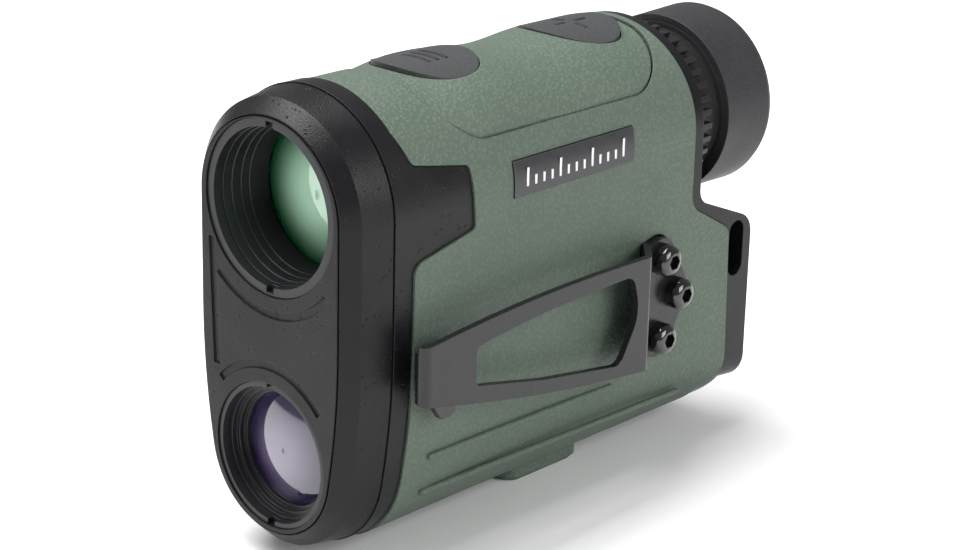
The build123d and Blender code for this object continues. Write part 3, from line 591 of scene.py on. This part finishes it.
class RANGEFINDER_OT_hardware(bpy.types.Operator):
    """Give the clip, screws, inserts, badge and contacts their metals"""
    bl_idname = "rangefinder.hardware"
    bl_label = "Clip and hardware"

    def execute(self, context):
        finish_nodes(metal("black coated steel", (0.010, 0.010, 0.011), 0.30, 0.2, 0.3, 5.0),
                     "clip_arm", "clip_base")
        finish_nodes(metal("blackened steel", (0.10, 0.10, 0.11), 0.4), "rear_screws",
                     "board_screws")
        finish_nodes(metal("brass", (0.70, 0.50, 0.22), 0.3, edge_highlight_lift=1.2), "tripod_insert",
                     "clip_inserts")
        finish_nodes(metal("nickel plate", (0.60, 0.60, 0.57), 0.28, edge_highlight_lift=1.2),
                     "detector", "laser_holder", "laser_diode", "front_contact", "cap_contact")
        finish_nodes(metal("badge plate", (0.050, 0.050, 0.054), 0.34, 0.5, 0.2, 4.0), "badge")
        return {"FINISHED"}


class RANGEFINDER_OT_clip_screws(bpy.types.Operator):
    """Model the three dome-head hex-socket screws of the clip"""
    bl_idname = "rangefinder.clip_screws"
    bl_label = "Clip screws"

    def execute(self, context):
        heads = joined([self.head(y, z) for y, z in screw_places], "clip_screw_heads")
        heads.data.materials.clear()
        gloss = metal("glossy black screw", (0.012, 0.012, 0.013), 0.15, 0.5, 0.2, 2.0)
        gloss.node_tree.nodes["Principled BSDF"].inputs["Coat Weight"].default_value = 1.0
        heads.data.materials.append(gloss)
        deselect()
        heads.select_set(True)
        context.view_layer.objects.active = heads
        bpy.ops.object.shade_smooth_by_angle(angle=math.radians(35))
        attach(heads, "root")
        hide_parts("clip_screws")
        return {"FINISHED"}

    def head(self, y, z):
        length = screw_top - screw_buried
        place = ((screw_top + screw_buried) / 2, y, z)
        across = (0, math.pi / 2, 0)
        deselect()
        bpy.ops.mesh.primitive_cylinder_add(vertices=64, radius=screw_radius, depth=length,
                                            location=place, rotation=across)
        made = bpy.context.object
        bpy.ops.object.transform_apply(location=True, rotation=True, scale=True)
        dome = made.modifiers.new("dome", "BEVEL")
        dome.width = screw_dome
        dome.segments = 10
        dome.limit_method = "ANGLE"
        bpy.ops.object.modifier_apply(modifier=dome.name)
        deselect()
        bpy.ops.mesh.primitive_cylinder_add(vertices=6, radius=socket_across / math.sqrt(3),
                                            depth=socket_cutter,
                                            location=(screw_top, y, z),
                                            rotation=across)
        key = bpy.context.object
        bpy.ops.object.transform_apply(location=True, rotation=True, scale=True)
        deselect()
        made.select_set(True)
        bpy.context.view_layer.objects.active = made
        socket = made.modifiers.new("socket", "BOOLEAN")
        socket.operation = "DIFFERENCE"
        socket.object = key
        bpy.ops.object.modifier_apply(modifier=socket.name)
        bpy.data.objects.remove(key)
        return made


class RANGEFINDER_OT_electronics(bpy.types.Operator):
    """Give the boards, chips, ribbon and cell their finishes"""
    bl_idname = "rangefinder.electronics"
    bl_label = "Electronics"

    def execute(self, context):
        finish_nodes(plastic("solder mask", (0.02, 0.13, 0.05), 0.3),
                     "main_board", "switch_board")
        finish_nodes(plastic("chip moulding", (0.014, 0.014, 0.014), 0.5),
                     "board_chips", "switches")
        finish_nodes(plastic("ribbon film", (0.45, 0.20, 0.04), 0.25), "ribbon_cable")
        finish_nodes(plastic("cell sleeve", (0.05, 0.07, 0.22), 0.25), "battery")
        return {"FINISHED"}


class RANGEFINDER_OT_badge_scale(bpy.types.Operator):
    """Put a plain tick scale on the badge, in place of lettering"""
    bl_idname = "rangefinder.badge_scale"
    bl_label = "Badge scale"

    def execute(self, context):
        look = context.scene.rangefinder_marks
        face = badge_high.x
        length = badge_high.y - badge_low.y
        height = badge_high.z - badge_low.z
        centre = middle(badge_low, badge_high)
        pitch = length * tick_span / (look.tick_count - 1)
        pieces = []
        for count in range(look.tick_count):
            tall = height * (tall_tick if count % 4 == 0 else short_tick)
            y = centre.y + (count - (look.tick_count - 1) / 2) * pitch
            place = (face - look.relief / 2, y, centre.z - height * tick_foot + tall / 2)
            pieces.append(bar(place, (look.relief, look.tick_width, tall), tick_edge))
        scale = joined(pieces, "badge_scale")
        scale.data.materials.append(metal("bright mark", look.colour, 0.25, edge_highlight_lift=1.1))
        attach(scale, "root")
        return {"FINISHED"}


class RANGEFINDER_OT_button_marks(bpy.types.Operator):
    """Put a plain raised symbol on each button"""
    bl_idname = "rangefinder.button_marks"
    bl_label = "Button marks"

    def execute(self, context):
        look = context.scene.rangefinder_marks
        ink = rubber("button mark rubber", (0.012, 0.012, 0.013), (0.02, 0.02, 0.022),
                     0.3 * MM, 0.01 * MM, 0.45)
        centre = middle(*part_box("menu_button"))
        size = (bar_length, stroke, look.relief)
        lines = [bar((0, centre.y + step * bar_pitch, 0), size, mark_edge, cuts=9)
                 for step in (-1, 0, 1)]
        self.place(joined(lines, "menu_mark"), "menu_button", "menu_key", ink, look.relief)
        centre = middle(*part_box("measure_button"))
        arms = []
        for x, y in ((1, 0), (-1, 0), (0, 1), (0, -1)):
            size = (arm_length, stroke) if x else (stroke, arm_length)
            place = (x * arm_reach, centre.y + y * arm_reach, 0)
            arms.append(bar(place, (*size, look.relief), mark_edge, cuts=5))
        self.place(joined(arms, "measure_mark"), "measure_button", "measure_key", ink, look.relief)
        return {"FINISHED"}

    def place(self, mark, node, body, ink, relief):
        lay_on_crown(mark, node, relief)
        mark.data.materials.append(ink)
        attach(mark, body)


class RANGEFINDER_OT_stage(bpy.types.Operator):
    """Add the floor, the soft lights and the camera"""
    bl_idname = "rangefinder.stage"
    bl_label = "Stage"

    def execute(self, context):
        look = context.scene.rangefinder_stage
        deselect()
        bpy.ops.mesh.primitive_plane_add(size=8, location=(0, 0, cad_box[0].z - 0.1 * MM))
        floor = context.object
        floor.name = "floor"
        made, tree, shader = new_material("pale floor")
        cloud = use(tree, "handling", Scale=8)
        tree.links.new(blend_colours(tree, cloud.outputs["Mask"], look.floor_colour,
                                     shade(look.floor_colour, 0.99)), shader.inputs["Base Color"])
        shader.inputs["Roughness"].default_value = 0.7
        floor.data.materials.append(made)
        centre = middle(*cad_box)
        self.light("key", centre, (-0.25, -0.15, 0.75), 0.7, look.key_power)
        self.light("side", centre, (0.75, 0.05, 0.35), 0.5, look.side_power)
        self.light("front", centre, (-0.15, -0.85, 0.30), 0.4, look.front_power)
        world = bpy.data.worlds.new("studio")
        world.use_nodes = True
        sky = world.node_tree.nodes["Background"]
        sky.inputs["Color"].default_value = (1, 1, 1, 1)
        sky.inputs["Strength"].default_value = look.room_light
        context.scene.world = world
        context.scene.view_settings.view_transform = "Standard"
        self.camera(context)
        return {"FINISHED"}

    def light(self, name, centre, offset, size, power):
        lamp = bpy.data.lights.new(name, "AREA")
        lamp.size = size
        lamp.energy = power
        holder = bpy.data.objects.new(name, lamp)
        holder.location = centre + Vector(offset)
        aim = centre - holder.location
        holder.rotation_euler = aim.to_track_quat("-Z", "Y").to_euler()
        bpy.context.scene.collection.objects.link(holder)

    def camera(self, context):
        place = Vector(camera_place)
        ahead = (Vector(camera_target) - place).normalized()
        right = ahead.cross(Vector((0, 0, 1))).normalized()
        up = right.cross(ahead)
        across = math.cos(camera_roll) * right + math.sin(camera_roll) * up
        above = math.cos(camera_roll) * up - math.sin(camera_roll) * right
        lens = bpy.data.cameras.new("camera")
        lens.lens = camera_lens
        lens.sensor_width = camera_sensor
        lens.clip_start = 0.01
        holder = bpy.data.objects.new("camera", lens)
        turn = Matrix((across, above, -ahead)).transposed()
        holder.matrix_world = Matrix.Translation(place) @ turn.to_4x4()
        context.scene.collection.objects.link(holder)
        context.scene.camera = holder


class RANGEFINDER_PT_panel(bpy.types.Panel):
    bl_label = "Rangefinder"
    bl_idname = "RANGEFINDER_PT_panel"
    bl_space_type = "VIEW_3D"
    bl_region_type = "UI"
    bl_category = "Rangefinder"

    def draw(self, context):
        for operator in operators:
            self.layout.operator(operator.bl_idname)


operators = (
    RANGEFINDER_OT_effects, RANGEFINDER_OT_armour, RANGEFINDER_OT_plastic,
    RANGEFINDER_OT_optics, RANGEFINDER_OT_hardware, RANGEFINDER_OT_clip_screws,
    RANGEFINDER_OT_electronics,
    RANGEFINDER_OT_badge_scale, RANGEFINDER_OT_button_marks, RANGEFINDER_OT_stage,
)
settings = {
    "rangefinder_armour": ArmourSettings, "rangefinder_plastic": PlasticSettings,
    "rangefinder_optics": OpticsSettings, "rangefinder_marks": MarkSettings,
    "rangefinder_stage": StageSettings,
}


def register():
    for made in (*settings.values(), *operators, RANGEFINDER_PT_panel):
        bpy.utils.register_class(made)
    for name, group in settings.items():
        setattr(bpy.types.Scene, name, bpy.props.PointerProperty(type=group))


def unregister():
    for name in settings:
        delattr(bpy.types.Scene, name)
    for made in reversed((*settings.values(), *operators, RANGEFINDER_PT_panel)):
        bpy.utils.unregister_class(made)


def main():
    register()
    for operator in operators:
        family, name = operator.bl_idname.split(".")
        getattr(getattr(bpy.ops, family), name)()


if __name__ == "__main__":
    main()
